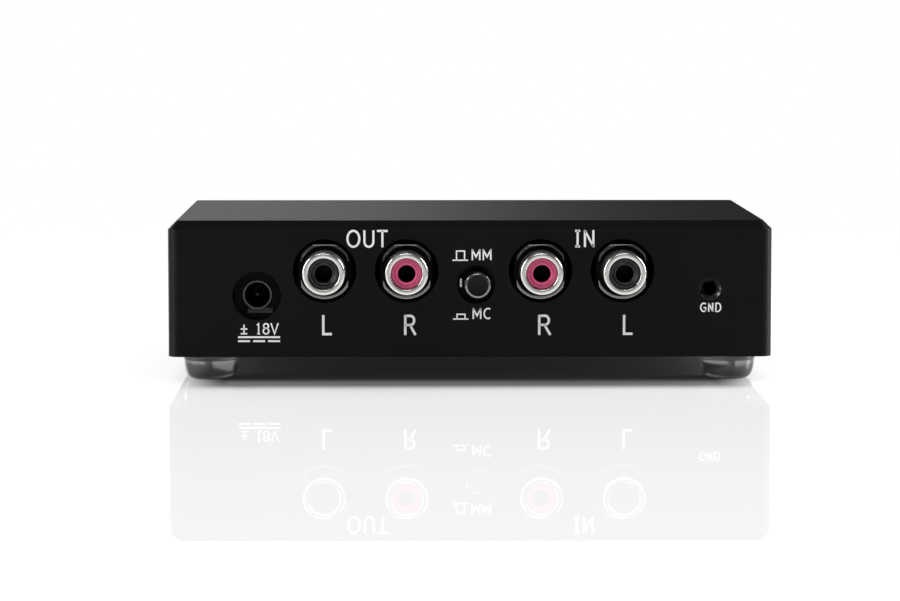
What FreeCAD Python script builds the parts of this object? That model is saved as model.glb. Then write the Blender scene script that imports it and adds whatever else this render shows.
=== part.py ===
import FreeCAD, Part
import math
import os

from FreeCAD import Vector

# Small phono preamplifier: a one-piece metal cover on a base plate, four phono jacks, a mains adapter
# inlet, a ground socket and a latching push button on the rear panel.
# Millimetres. X runs to the right as the jack panel is seen, the jack panel faces -Y, Z is up from the table.

# Housing
housing_width = 118.0
housing_depth = 75.0
housing_height = 26.6
wall = 2.0
edge_radius = 2.6
top_bevel = 1.7
inner_radius = 0.5
plate_thickness = 1.5
plate_gap = 0.2
plate_corner = 1.0

# Screw posts inside the cover and their countersunk screws
post_radius = 3.5
post_inset = 4.0
post_spread = 19.0
web_thickness = 2.0
screw_radius = 1.5
screw_fit = 0.05
hole_gap = 0.1
sink_radius = 2.75
sink_depth = 1.25
base_screw_length = 8.0

# Feet
foot_height = 5.0
foot_radius = 5.5
foot_flat_radius = 3.0
foot_flange = 1.2
foot_shoulder_radius = 4.8
foot_shoulder_height = 1.5
foot_inset_x = 8.0
foot_inset_y = 9.0

# Circuit board
spacer_height = 4.0
spacer_across_flats = 5.5
spacer_inset_x = 4.8
spacer_rear_inset = 17.5
spacer_front_inset = 7.5
board_thickness = 1.6
board_side_gap = 8.2
board_panel_gap = 0.5
board_front_gap = 1.5
pan_radius = 2.75
pan_height = 2.0
board_screw_length = 5.0
leg_length = 2.6
leg_gap = 0.1

# Phono jacks, left to right on the panel
ring_reach = 8.0
ring_radius = 4.15
ring_seat_radius = 3.6
ring_chamfer = 0.35
ring_seat = 6.0
ring_leg_width = 2.0
ring_leg_thickness = 0.6
jack_group_x = 0.65
jack_inner_offset = 13.05
jack_pitch = 16.0
jack_axis_drop = 9.8
jack_hole_radius = 6.2
jack_body_width = 10.4
jack_body_depth = 11.0
jack_body_above = 5.6
nose_radius = 5.7
nose_flat = 4.65
nose_top = 5.2
nose_recess = 0.5
nose_groove_radius = 4.9
nose_groove_depth = 1.6
insulator_radius = 3.0
insulator_length = 18.5
tip_recess = 0.5
lip_slope = 0.4
press_gap = 0.03
socket_radius = 1.7
contact_wall = 0.3
contact_front_depth = 2.0
contact_bore_depth = 12.0
contact_floor = 1.5
tail_radius = 1.0
tail_end_gap = 1.0
contact_leg_width = 0.8
contact_leg_thickness = 0.6

# Power inlet
power_x = -41.6
power_axis_height = 4.85
power_hole_radius = 4.75
power_width = 9.0
power_depth = 12.0
power_above = 4.5
power_panel_gap = 1.1
power_bore_radius = 2.5
power_bore_depth = 9.5
power_chin_reach = 1.0
power_chin_left = 1.9
power_chin_right = 3.0
power_chin_height = 2.3
power_chin_bevel = 0.9
power_lip_radius = 2.8
power_lip_length = 0.3
power_pin_radius = 0.65
power_pin_seat_radius = 1.0
power_pin_recess = 1.0
power_leg_thickness = 0.6
power_leg_width = 1.4
strip_thickness = 0.4
strip_start = 3.0

# Ground socket
ground_inset = 12.15
ground_axis_height = 6.14
ground_radius = 2.1
ground_bore_radius = 1.35
ground_sink = 0.7
collar_radius = 3.2
collar_thickness = 0.8
tag_radius = 3.3
tag_thickness = 0.5
tag_tail_width = 1.6
nut_across_flats = 7.0
nut_thickness = 2.2
ground_stub = 0.8

# Push button and its latching switch
switch_x = 1.14
button_offset = 0.3
button_axis_height = 7.04
button_hole_radius = 3.68
button_radius = 2.6
button_round = 0.6
button_proud = 3.0
button_length = 8.5
button_front_wall = 2.0
button_travel = 2.5
plunger_side = 2.6
plunger_gap = 0.3
spring_length = 4.4
spring_radius = 2.3
spring_wire = 0.3
switch_width = 9.0
switch_depth = 14.0
switch_height = 11.6
switch_end_wall = 1.5
travel_spare = 0.5
sheet = 0.4
frame_strip = 6.0
lug_thickness = 0.6
lug_height = 1.85
lug_reach = 5.0
pin_width = 0.6
pin_pitch_x = 3.0
pin_pitch_y = 4.0
latch_wire_radius = 0.3
latch_wire_gap = 0.1
latch_span = 5.0
latch_leg = 1.6
latch_rise = 0.4

# Power lamp in the front wall
lamp_axis_height = 6.0
lamp_radius = 1.5
lamp_flange_radius = 1.9
lamp_flange = 1.0
lamp_round = 0.7
lamp_recess = 0.3
lamp_gap = 0.05
lead_spacing = 2.54
lead_side = 0.5
lead_run = 2.5

# Parts on the board
chip_length = 9.3
chip_width = 6.4
chip_height = 3.3
chip_lift = 0.5
chip_leg_width = 0.5
chip_leg_thickness = 0.3
chip_leg_reach = 0.6
chip_pitch = 2.54
chip_places = [(-20.0, 2.0), (20.0, 2.0)]
can_radius = 3.15
can_height = 11.0
can_chamfer = 0.4
can_places = [(-30.0, 26.0), (-15.0, 26.0), (15.0, 26.0), (30.0, 26.0)]
film_length = 7.2
film_width = 3.5
film_height = 7.5
film_chamfer = 0.4
film_places = [(-34.0, -10.0), (-20.0, -10.0), (20.0, -10.0), (34.0, -10.0)]
film_places += [(-24.0, 14.0), (-8.0, 14.0), (8.0, 14.0), (24.0, 14.0)]
resistor_length = 3.2
resistor_width = 1.6
resistor_height = 0.6
resistor_pitch = 6.0
resistor_columns = 9
resistor_rows = [-4.0, 8.5]
regulator_radius = 2.35
regulator_flat = 1.2
regulator_height = 4.6
regulator_lift = 2.0
regulator_leg = 0.45
regulator_pitch = 1.27
regulator_places = [(-38.0, 8.0), (-38.0, 18.0)]

# Planes and heights that the sizes above give
panel_y = (ring_reach - housing_depth) / 2
front_y = panel_y + housing_depth
inner_panel_y = panel_y + wall
inner_front_y = front_y - wall
middle_y = (panel_y + front_y) / 2
side_x = housing_width / 2
inner_side_x = side_x - wall
floor_z = foot_height
top_z = floor_z + housing_height
ceiling_z = top_z - wall
plate_top_z = floor_z + plate_thickness
board_bottom_z = plate_top_z + spacer_height
board_top_z = board_bottom_z + board_thickness
leg_bottom_z = board_top_z - leg_length
post_x = inner_side_x - post_inset
post_places = [(sx * post_x, middle_y + sy * post_spread) for sx in (-1, 1) for sy in (-1, 1)]
board_side_x = inner_side_x - board_side_gap
spacer_x = board_side_x - spacer_inset_x
spacer_rows = (inner_panel_y + spacer_rear_inset, inner_front_y - spacer_front_inset)
spacer_places = [(sx * spacer_x, y) for sx in (-1, 1) for y in spacer_rows]
jack_axis_z = top_z - jack_axis_drop
power_axis_z = board_top_z + power_axis_height
ground_axis_z = board_top_z + ground_axis_height
button_axis_z = board_top_z + button_axis_height
lamp_axis_z = board_top_z + lamp_axis_height
ground_x = side_x - ground_inset
jack_outer_offset = jack_inner_offset + jack_pitch
jacks = {
    "output_left": jack_group_x - jack_outer_offset,
    "output_right": jack_group_x - jack_inner_offset,
    "input_right": jack_group_x + jack_inner_offset,
    "input_left": jack_group_x + jack_outer_offset,
}

# Slots that the legs need in the board, as (x0, x1, y0, y1)
board_slots = []


# A box from its six faces
def block(x0, x1, y0, y1, z0, z1):
    return Part.makeBox(x1 - x0, y1 - y0, z1 - z0, Vector(x0, y0, z0))


# A round bar along Y
def rod(x, z, radius, y0, y1):
    return Part.makeCylinder(radius, y1 - y0, Vector(x, y0, z), Vector(0, 1, 0))


# A round bar along Z
def column(x, y, radius, z0, z1):
    return Part.makeCylinder(radius, z1 - z0, Vector(x, y, z0))


# The face inside a closed outline of points; an entry (middle, end) is an arc through middle to end
def outline_face(entries):
    edges = []
    last = entries[0]
    for entry in entries[1:] + [entries[0]]:
        if isinstance(entry, tuple):
            edges.append(Part.Arc(last, entry[0], entry[1]).toShape())
            last = entry[1]
        else:
            edges.append(Part.makeLine(last, entry))
            last = entry
    return Part.Face(Part.Wire(edges))


# A turned piece about the line along Y through (x, z), from an outline of (y, radius) points
def turned(x, z, entries):
    placed = []
    for entry in entries:
        if len(entry) == 4:
            placed.append((Vector(0, entry[0], entry[1]), Vector(0, entry[2], entry[3])))
        else:
            placed.append(Vector(0, entry[0], entry[1]))
    solid = outline_face(placed).revolve(Vector(0, 0, 0), Vector(0, 1, 0), 360)
    solid.translate(Vector(x, 0, z))
    return solid


# A six-sided bar across two flats, from a base point along an axis
def hexagon(base, axis, across_flats, length):
    corner = across_flats / math.sqrt(3)
    points = [Vector(corner * math.cos(math.pi * i / 3), corner * math.sin(math.pi * i / 3), 0) for i in range(6)]
    bar = outline_face(points).extrude(Vector(0, 0, length))
    bar.Placement = FreeCAD.Placement(base, FreeCAD.Rotation(Vector(0, 0, 1), axis))
    return bar


# A box whose upright edges are rounded
def rounded_slab(x0, x1, y0, y1, z0, z1, radius):
    box = block(x0, x1, y0, y1, z0, z1)
    edges = [edge for edge in box.Edges if edge.BoundBox.ZLength > (z1 - z0) / 2]
    return box.makeFillet(radius, edges)


# A flat leg that goes down through the board, and the slot that it needs there
def board_leg(x, y0, y1, width, top):
    half = width / 2
    board_slots.append((x - half - leg_gap, x + half + leg_gap, y0 - leg_gap, y1 + leg_gap))
    return block(x - half, x + half, y0, y1, leg_bottom_z, top)


# Writes one node and says what it holds
def save(name, *solids):
    shape = solids[0] if len(solids) == 1 else Part.makeCompound(list(solids))
    shape.exportStep("parts/" + name + ".step")
    print(name, len(shape.Solids), "solids", round(shape.Volume, 2), "mm3", "valid" if shape.isValid() else "BAD")


# The cover: one shell with rounded uprights and bevelled top edges, four posts, and the holes of both long walls
def make_cover():
    outer = rounded_slab(-side_x, side_x, panel_y, front_y, floor_z, top_z, edge_radius)
    rim = [edge for edge in outer.Edges if edge.BoundBox.ZMin > top_z - wall / 2]
    outer = outer.makeChamfer(top_bevel, rim)
    inner = rounded_slab(
        -inner_side_x, inner_side_x, inner_panel_y, inner_front_y, floor_z, ceiling_z, inner_radius
    )
    shell = outer.cut(inner)
    posts = []
    for x, y in post_places:
        posts.append(column(x, y, post_radius, plate_top_z, ceiling_z + wall / 2))
        wall_x = math.copysign(inner_side_x + wall / 2, x)
        half = web_thickness / 2
        web_top = ceiling_z + wall / 2
        posts.append(block(min(x, wall_x), max(x, wall_x), y - half, y + half, plate_top_z, web_top))
    shell = shell.fuse(posts).removeSplitter()
    bore_top = plate_top_z + base_screw_length
    cuts = [column(x, y, screw_radius + screw_fit, plate_top_z, bore_top) for x, y in post_places]
    through = (panel_y - wall, inner_panel_y + wall)
    for x in jacks.values():
        cuts.append(rod(x, jack_axis_z, jack_hole_radius, *through))
    cuts.append(rod(power_x, power_axis_z, power_hole_radius, *through))
    cuts.append(rod(ground_x, ground_axis_z, ground_radius + press_gap, *through))
    cuts.append(rod(switch_x, button_axis_z, button_hole_radius, *through))
    cuts.append(rod(0, lamp_axis_z, lamp_radius + lamp_gap, inner_front_y - wall, front_y + wall))
    save("cover", shell.cut(cuts))


# The base plate lies flush in the cover's lower edge against the four posts
def make_base():
    x = inner_side_x - plate_gap
    y0 = inner_panel_y + plate_gap
    y1 = inner_front_y - plate_gap
    plate = rounded_slab(-x, x, y0, y1, floor_z, plate_top_z, plate_corner)
    cuts = []
    screws = []
    for px, py in post_places:
        cuts.append(column(px, py, screw_radius + hole_gap, floor_z, plate_top_z))
        cuts.append(
            Part.makeCone(sink_radius + hole_gap, screw_radius + hole_gap, sink_depth, Vector(px, py, floor_z))
        )
        head = Part.makeCone(sink_radius, screw_radius, sink_depth, Vector(px, py, floor_z))
        shank_top = plate_top_z + base_screw_length - screw_radius
        shank = column(px, py, screw_radius, floor_z + sink_depth, shank_top)
        screws.append(head.fuse(shank).removeSplitter())
    save("base_plate", plate.cut(cuts))
    save("base_screws", *screws)


# A soft bumper foot: a short flange against the plate, then two tapers down to a small flat
def make_feet():
    points = [
        Vector(0, 0, foot_height),
        Vector(foot_radius, 0, foot_height),
        Vector(foot_radius, 0, foot_height - foot_flange),
        Vector(foot_shoulder_radius, 0, foot_shoulder_height),
        Vector(foot_flat_radius, 0, 0),
        Vector(0, 0, 0),
    ]
    foot = outline_face(points).revolve(Vector(0, 0, 0), Vector(0, 0, 1), 360)
    for end, y in (("rear", panel_y + foot_inset_y), ("front", front_y - foot_inset_y)):
        for side, sign in (("left", -1), ("right", 1)):
            placed = foot.copy()
            placed.translate(Vector(sign * (side_x - foot_inset_x), y, 0))
            save("foot_" + end + "_" + side, placed)


# One phono jack: housing with its nose in the panel hole, turned ring, insulator and sprung centre contact
def make_jack(name, x):
    z = jack_axis_z
    body_y = inner_panel_y + board_panel_gap
    body_end_y = body_y + jack_body_depth
    half = jack_body_width / 2
    nose_y = panel_y + nose_recess
    groove_y = nose_y + nose_groove_depth
    ring_tip_y = panel_y - ring_reach
    ring_end_y = body_y + ring_seat
    tip_y = ring_tip_y + tip_recess
    insulator_end_y = tip_y + insulator_length
    contact_radius = socket_radius + contact_wall
    contact_y = tip_y + contact_front_depth
    contact_bore_y = tip_y + contact_bore_depth
    contact_end_y = contact_bore_y + contact_floor
    tail_end_y = body_end_y - tail_end_gap

    body = block(x - half, x + half, body_y, body_end_y, board_top_z, z + jack_body_above)
    nose = rod(x, z, nose_radius, nose_y, body_y)
    nose = nose.common(block(x - nose_flat, x + nose_flat, nose_y, body_y, z - nose_radius, z + nose_top))
    slot_half = tail_radius + hole_gap
    ring_leg_y = ring_end_y - ring_leg_thickness
    leg_half = ring_leg_width / 2 + hole_gap
    body = body.fuse(nose).removeSplitter()
    body = body.cut(
        [
            rod(x, z, nose_groove_radius, nose_y, groove_y),
            rod(x, z, ring_seat_radius + press_gap, groove_y, ring_end_y),
            rod(x, z, insulator_radius + press_gap, ring_end_y, insulator_end_y),
            block(x - slot_half, x + slot_half, insulator_end_y, body_end_y, board_top_z, z + slot_half),
            block(x - leg_half, x + leg_half, ring_leg_y - hole_gap, ring_end_y, board_top_z, z),
        ]
    )
    save(name + "_body", body)

    bore = insulator_radius + press_gap
    ring = turned(
        x,
        z,
        [
            (ring_end_y, bore),
            (ring_end_y, ring_seat_radius),
            (groove_y, ring_seat_radius),
            (groove_y, ring_radius),
            (ring_tip_y + ring_chamfer, ring_radius),
            (ring_tip_y, ring_radius - ring_chamfer),
            (ring_tip_y, bore),
        ],
    )
    ring_leg_top = z - (ring_seat_radius + bore) / 2
    ring_leg = board_leg(x, ring_leg_y, ring_end_y, ring_leg_width, ring_leg_top)
    save(name + "_ring", ring.fuse(ring_leg).removeSplitter())

    seat = contact_radius + press_gap
    insulator = turned(
        x,
        z,
        [
            (insulator_end_y, seat),
            (insulator_end_y, insulator_radius),
            (tip_y + lip_slope, insulator_radius),
            (tip_y, socket_radius),
            (contact_y, socket_radius),
            (contact_y, seat),
        ],
    )
    save(name + "_insulator", insulator)

    contact = turned(
        x,
        z,
        [
            (contact_end_y, 0),
            (contact_end_y, contact_radius),
            (contact_y, contact_radius),
            (contact_y, socket_radius),
            (contact_bore_y, socket_radius),
            (contact_bore_y, 0),
        ],
    )
    tail = rod(x, z, tail_radius, contact_end_y, tail_end_y)
    leg = board_leg(x, tail_end_y - contact_leg_thickness, tail_end_y, contact_leg_width, z)
    save(name + "_contact", contact.fuse([tail, leg]).removeSplitter())


# The power inlet: a moulded block with a bevelled chin and a thin lip, its centre pin and its side contact
def make_power_inlet():
    x = power_x
    z = power_axis_z
    half = power_width / 2
    body_y = inner_panel_y + power_panel_gap
    end_y = body_y + power_depth
    lip_y = body_y - power_lip_length
    chin_y = body_y - power_chin_reach
    bore_end_y = body_y + power_bore_depth
    body = block(x - half, x + half, body_y, end_y, board_top_z, z + power_above)
    chin_top = board_top_z + power_chin_height
    chin = block(x - power_chin_left, x + power_chin_right, chin_y, body_y, board_top_z, chin_top)
    upper = [edge for edge in chin.Edges if edge.BoundBox.ZMin > board_top_z + power_chin_height / 2]
    shoulder = [edge for edge in upper if edge.BoundBox.YMax < body_y - power_chin_reach / 2]
    chin = chin.makeChamfer(power_chin_bevel, shoulder)
    lip = rod(x, z, power_lip_radius, lip_y, body_y)
    body = body.fuse([chin, lip]).removeSplitter()
    leg_half = power_leg_width / 2
    slot_half = leg_half + hole_gap
    strip_y = body_y + strip_start
    body = body.cut(
        [
            rod(x, z, power_bore_radius, lip_y, bore_end_y),
            rod(x, z, power_pin_seat_radius + press_gap, bore_end_y, end_y),
            block(x - slot_half, x + slot_half, strip_y - hole_gap, bore_end_y, board_top_z, z),
        ]
    )
    save("power_inlet_body", body)

    tip_y = lip_y + power_pin_recess
    pin_end_y = end_y + power_leg_thickness
    pin = turned(
        x,
        z,
        [
            (pin_end_y, 0),
            (pin_end_y, power_pin_seat_radius),
            (bore_end_y, power_pin_seat_radius),
            (bore_end_y, power_pin_radius),
            (tip_y + power_pin_radius, power_pin_radius),
            (tip_y, power_pin_radius / 2),
            (tip_y, 0),
        ],
    )
    leg = board_leg(x, end_y, pin_end_y, power_leg_width, z)
    save("power_inlet_pin", pin.fuse(leg).removeSplitter())

    strip_top = z - power_bore_radius
    strip_bottom = strip_top - strip_thickness
    strip = block(x - leg_half, x + leg_half, strip_y, bore_end_y - hole_gap, strip_bottom, strip_top)
    strip_leg = board_leg(x, strip_y, strip_y + strip_thickness, power_leg_width, strip_bottom)
    save("power_inlet_spring", strip.fuse(strip_leg).removeSplitter())


# The ground socket: a bush pressed into the panel up to its collar, a solder tag and a nut behind it
def make_ground():
    x = ground_x
    z = ground_axis_z
    collar_end_y = inner_panel_y + collar_thickness
    tag_end_y = collar_end_y + tag_thickness
    nut_end_y = tag_end_y + nut_thickness
    end_y = nut_end_y + ground_stub
    bush = turned(
        x,
        z,
        [
            (panel_y, ground_bore_radius + ground_sink),
            (panel_y, ground_radius),
            (inner_panel_y, ground_radius),
            (inner_panel_y, collar_radius),
            (collar_end_y, collar_radius),
            (collar_end_y, ground_radius),
            (end_y, ground_radius),
            (end_y, ground_bore_radius),
            (panel_y + ground_sink, ground_bore_radius),
        ],
    )
    save("ground_socket", bush)
    hole = rod(x, z, ground_radius + press_gap, collar_end_y, nut_end_y)
    tag = rod(x, z, tag_radius, collar_end_y, tag_end_y)
    tail = board_leg(x, collar_end_y, tag_end_y, tag_tail_width, z)
    save("ground_tag", tag.fuse(tail).cut(hole).removeSplitter())
    nut = hexagon(Vector(x, tag_end_y, z), Vector(0, 1, 0), nut_across_flats, nut_thickness)
    save("ground_nut", nut.cut(hole))


# The push button and its latching switch: cap on a square plunger, return spring, body, frame and pins
def make_switch():
    x = switch_x + button_offset
    z = button_axis_z
    cap_y = panel_y - button_proud
    cap_end_y = cap_y + button_length
    body_y = cap_end_y + spring_length
    frame_y = body_y - sheet
    end_y = body_y + switch_depth
    half = switch_width / 2
    top = board_top_z + switch_height
    side = plunger_side / 2
    bore = side + plunger_gap

    cap_side = button_round * (1 - math.sqrt(0.5))
    cap = turned(
        x,
        z,
        [
            (cap_end_y, 0),
            (cap_end_y, button_radius),
            (cap_y + button_round, button_radius),
            (cap_y + cap_side, button_radius - cap_side, cap_y, button_radius - button_round),
            (cap_y, 0),
        ],
    )
    seat_y = cap_y + button_front_wall
    cap = cap.cut(block(x - side, x + side, seat_y, cap_end_y, z - side, z + side))
    save("button_cap", cap)

    bore_end_y = end_y - switch_end_wall
    plunger_end_y = bore_end_y - button_travel - travel_spare
    save("switch_plunger", block(x - side, x + side, seat_y, plunger_end_y, z - side, z + side))

    body = block(x - half, x + half, body_y, end_y, board_top_z, top)
    latch_y = bore_end_y - latch_span
    hole_radius = latch_wire_radius + latch_wire_gap
    cuts = [block(x - bore, x + bore, body_y, bore_end_y, z - bore, z + bore)]
    cuts += [column(x, y, hole_radius, top - latch_leg, top) for y in (latch_y, bore_end_y)]
    save("switch_body", body.cut(cuts))

    latch_z = top + latch_rise
    latch = rod(x, latch_z, latch_wire_radius, latch_y, bore_end_y)
    legs = [column(x, y, latch_wire_radius, top - latch_leg, latch_z) for y in (latch_y, bore_end_y)]
    save("latch_wire", latch.fuse(legs).removeSplitter())

    strip_y = body_y + frame_strip
    hood = block(x - half - sheet, x + half + sheet, body_y, strip_y, board_top_z, top + sheet)
    hood = hood.cut(block(x - half, x + half, body_y, strip_y, board_top_z, top))
    lug_x = x - button_radius - plunger_gap
    lug_half = lug_height / 2
    lug = block(lug_x - lug_thickness, lug_x, frame_y - lug_reach, body_y, z - lug_half, z + lug_half)
    arm = block(x - half - sheet, lug_x, frame_y, body_y, z - lug_half, z + lug_half)
    frame = hood.fuse([lug, arm])
    tab_y = body_y + frame_strip / 2
    tabs = [board_leg(x + s * (half + sheet / 2), tab_y, tab_y + pin_width, sheet, z) for s in (-1, 1)]
    save("switch_frame", frame.fuse(tabs).removeSplitter())

    pins = []
    for column_sign in (-1, 1):
        for row in (0, 1, 2):
            y = body_y + pin_pitch_y / 2 + row * pin_pitch_y
            pins.append(board_leg(x + column_sign * pin_pitch_x, y, y + pin_width, pin_width, board_top_z))
    save("switch_contacts", *pins)

    # The return spring as the sleeve that its turns fill, from the cap to the body
    spring = rod(x, z, spring_radius, cap_end_y, body_y)
    save("switch_spring", spring.cut(rod(x, z, spring_radius - spring_wire, cap_end_y, body_y)))


# The power lamp in the front wall and its two leads down to the board
def make_lamp():
    flange_y = inner_front_y - lamp_flange
    tip_y = front_y - lamp_recess
    dome_y = tip_y - lamp_round
    lamp = turned(
        0,
        lamp_axis_z,
        [
            (flange_y, 0),
            (flange_y, lamp_flange_radius),
            (inner_front_y, lamp_flange_radius),
            (inner_front_y, lamp_radius),
            (dome_y, lamp_radius),
            (tip_y, lamp_radius - lamp_round),
            (tip_y, 0),
        ],
    )
    save("power_lamp", lamp)
    leads = []
    drop_y = flange_y - lead_run
    for sign in (-1, 1):
        x = sign * lead_spacing / 2
        half = lead_side / 2
        run = block(x - half, x + half, drop_y - half, flange_y, lamp_axis_z - half, lamp_axis_z + half)
        leads.append(run.fuse(board_leg(x, drop_y - half, drop_y + half, lead_side, lamp_axis_z)).removeSplitter())
    save("lamp_leads", *leads)


# Amplifier chips: a moulded body with four legs on each long side
def make_chip(x, y):
    half_length = chip_length / 2
    half_width = chip_width / 2
    bottom = board_top_z + chip_lift
    body = block(x - half_length, x + half_length, y - half_width, y + half_width, bottom, bottom + chip_height)
    shoulder = bottom + chip_height / 2
    legs = []
    for side in (-1, 1):
        for i in range(4):
            leg_x = x + (i - 1.5) * chip_pitch
            near = y + side * half_width
            far = near + side * chip_leg_reach
            inner = far - side * chip_leg_thickness
            half = chip_leg_width / 2
            bridge = (leg_x - half, leg_x + half, min(near, far), max(near, far))
            legs.append(block(*bridge, shoulder - chip_leg_thickness, shoulder))
            legs.append(board_leg(leg_x, min(inner, far), max(inner, far), chip_leg_width, shoulder))
    return body.fuse(legs).removeSplitter()


# Electrolytic can: a can with a chamfered top rim
def make_can(x, y):
    can = column(x, y, can_radius, board_top_z, board_top_z + can_height)
    rim = [edge for edge in can.Edges if edge.BoundBox.ZMin > board_top_z + can_height / 2]
    return can.makeChamfer(can_chamfer, rim)


# Small voltage regulator: a round moulding with one flat side, on three legs
def make_regulator(x, y):
    bottom = board_top_z + regulator_lift
    body = column(x, y, regulator_radius, bottom, bottom + regulator_height)
    flat_y = y - regulator_flat
    body = body.cut(
        block(x - regulator_radius, x + regulator_radius, y - regulator_radius, flat_y, bottom, ceiling_z)
    )
    half = regulator_leg / 2
    legs = [
        board_leg(x + i * regulator_pitch, y - half, y + half, regulator_leg, bottom) for i in (-1, 0, 1)
    ]
    return body.fuse(legs).removeSplitter()


def make_components():
    save("amplifier_chips", *[make_chip(x, y) for x, y in chip_places])
    save("electrolytic_capacitors", *[make_can(x, y) for x, y in can_places])
    films = []
    for x, y in film_places:
        half_length = film_length / 2
        half_width = film_width / 2
        top = board_top_z + film_height
        film = block(x - half_length, x + half_length, y - half_width, y + half_width, board_top_z, top)
        upper = [edge for edge in film.Edges if edge.BoundBox.ZMin > board_top_z + film_height / 2]
        films.append(film.makeChamfer(film_chamfer, upper))
    save("film_capacitors", *films)
    chips = []
    for y in resistor_rows:
        for i in range(resistor_columns):
            x = (i - (resistor_columns - 1) / 2) * resistor_pitch
            half_length = resistor_length / 2
            half_width = resistor_width / 2
            z = board_top_z + resistor_height
            chips.append(
                block(x - half_width, x + half_width, y - half_length, y + half_length, board_top_z, z)
            )
    save("resistors", *chips)
    save("voltage_regulators", *[make_regulator(x, y) for x, y in regulator_places])


# The board on its spacers, with a slot for every leg, and the pan-head screws that hold it
def make_board():
    x = board_side_x
    y0 = inner_panel_y + board_panel_gap
    y1 = inner_front_y - board_front_gap
    board = block(-x, x, y0, y1, board_bottom_z, board_top_z)
    cuts = [block(*slot, board_bottom_z, board_top_z) for slot in board_slots]
    spacers = []
    screws = []
    for sx, sy in spacer_places:
        cuts.append(column(sx, sy, screw_radius + hole_gap, board_bottom_z, board_top_z))
        bore = column(sx, sy, screw_radius + screw_fit, plate_top_z, board_bottom_z)
        spacer = hexagon(Vector(sx, sy, plate_top_z), Vector(0, 0, 1), spacer_across_flats, spacer_height)
        spacers.append(spacer.cut(bore))
        head = column(sx, sy, pan_radius, board_top_z, board_top_z + pan_height)
        shank = column(sx, sy, screw_radius, board_top_z - board_screw_length, board_top_z)
        screws.append(head.fuse(shank).removeSplitter())
    save("circuit_board", board.cut(cuts))
    save("board_spacers", *spacers)
    save("board_screws", *screws)


make_cover()
make_base()
make_feet()
for jack_name, jack_x in jacks.items():
    make_jack(jack_name, jack_x)
make_power_inlet()
make_ground()
make_switch()
make_lamp()
make_components()
make_board()
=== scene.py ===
import math

import bmesh
import bpy
import numpy as np
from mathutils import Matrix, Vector


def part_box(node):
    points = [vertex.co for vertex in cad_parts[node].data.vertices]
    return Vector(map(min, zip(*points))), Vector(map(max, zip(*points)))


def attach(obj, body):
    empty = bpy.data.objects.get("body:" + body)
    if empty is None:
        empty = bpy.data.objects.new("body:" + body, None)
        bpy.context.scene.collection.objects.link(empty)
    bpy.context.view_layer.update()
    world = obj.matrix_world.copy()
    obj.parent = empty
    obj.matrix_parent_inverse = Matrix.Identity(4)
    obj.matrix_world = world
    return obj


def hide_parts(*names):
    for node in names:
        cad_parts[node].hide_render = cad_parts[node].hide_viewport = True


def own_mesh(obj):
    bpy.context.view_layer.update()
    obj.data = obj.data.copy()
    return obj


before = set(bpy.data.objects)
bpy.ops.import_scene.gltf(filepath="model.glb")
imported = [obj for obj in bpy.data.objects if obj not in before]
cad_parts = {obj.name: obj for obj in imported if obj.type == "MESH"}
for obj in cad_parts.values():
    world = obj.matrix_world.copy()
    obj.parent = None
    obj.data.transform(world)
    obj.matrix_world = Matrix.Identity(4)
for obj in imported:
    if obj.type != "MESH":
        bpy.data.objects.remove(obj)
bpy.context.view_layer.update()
mm = 0.001
housing = "housing"
button = "button"


# A node's middle, lowest corner and highest corner, in millimetres
def nodeBox(node):
    low, high = [np.array(corner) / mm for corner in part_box(node)]
    return (low + high) / 2, low, high


panelY = nodeBox("cover")[1][1]

# Camera, floor and light

cameraView = {
    "place": (-12.72, -733.5, 74.42),
    "aim": (0.01253, 1.0, -0.0834),
    "lens": 144.1,
    "sensor": 36.0,
    "clip": (0.05, 50),
}


def makeCamera():
    data = bpy.data.cameras.new("photoCamera")
    data.lens = cameraView["lens"]
    data.sensor_width = cameraView["sensor"]
    data.clip_start, data.clip_end = cameraView["clip"]
    eye = bpy.data.objects.new("photoCamera", data)
    eye.location = Vector(cameraView["place"]) * mm
    eye.rotation_euler = Vector(cameraView["aim"]).to_track_quat("-Z", "Y").to_euler()
    bpy.context.scene.collection.objects.link(eye)
    bpy.context.scene.camera = eye


studio = {
    "floorHalf": 1.6,
    "floorColour": (0.86, 0.86, 0.86),
    "floorRoughness": 0.0,
    "floorSpecular": 0.5,
    "levelCuts": (-0.3, 0.0, 0.3),
    "backdropDistance": 1.5,
    "backdropHeight": 1.6,
    "bendRadius": 0.5,
    "bendSteps": 17,
    # Share of white that is seen on the floor near the case, and where it starts and ends growing to 1
    "floorWhite": 0.42,
    "whiteFrom": 0.10,
    "whiteTo": 0.45,
    # The painted shade under the case: its middle and half size, its soft edge, colour and share of
    # white
    "shadeMiddle": (0.0, -0.009),
    "shadeHalf": (0.047, 0.028),
    "shadeReach": 0.012,
    "shadeColour": 0.20,
    "shadeWhite": 0.012,
    # What the case's satin reflections keep of the backdrop at the left and at the right
    "dimFrom": -0.10,
    "dimTo": 0.14,
    "dimLeft": 0.75,
    "dimRight": 0.06,
    "behindFrom": 0.2,
    "behindTo": 0.6,
    "worldDiffuse": 0.45,
    "worldGlossy": 0.07,
    "worldCamera": 1.0,
    "lampAim": (0, 0, 0.02),
    # name, place, size, power, shows in reflections
    "lamps": [
        ("topLight", (0.0, 0.1, 0.95), (0.9, 0.9), 6.0, False),
        ("frontLight", (-0.1, -0.9, 0.95), (0.6, 0.3), 3.2, True),
        ("leftLight", (-0.95, -0.25, 0.40), (0.4, 0.7), 8.5, True),
        ("rightLight", (0.95, 0.15, 0.40), (0.4, 0.7), 15.0, True),
        ("backLeftLight", (-0.75, 1.0, 0.28), (0.5, 0.4), 2.5, True),
    ],
}
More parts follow.
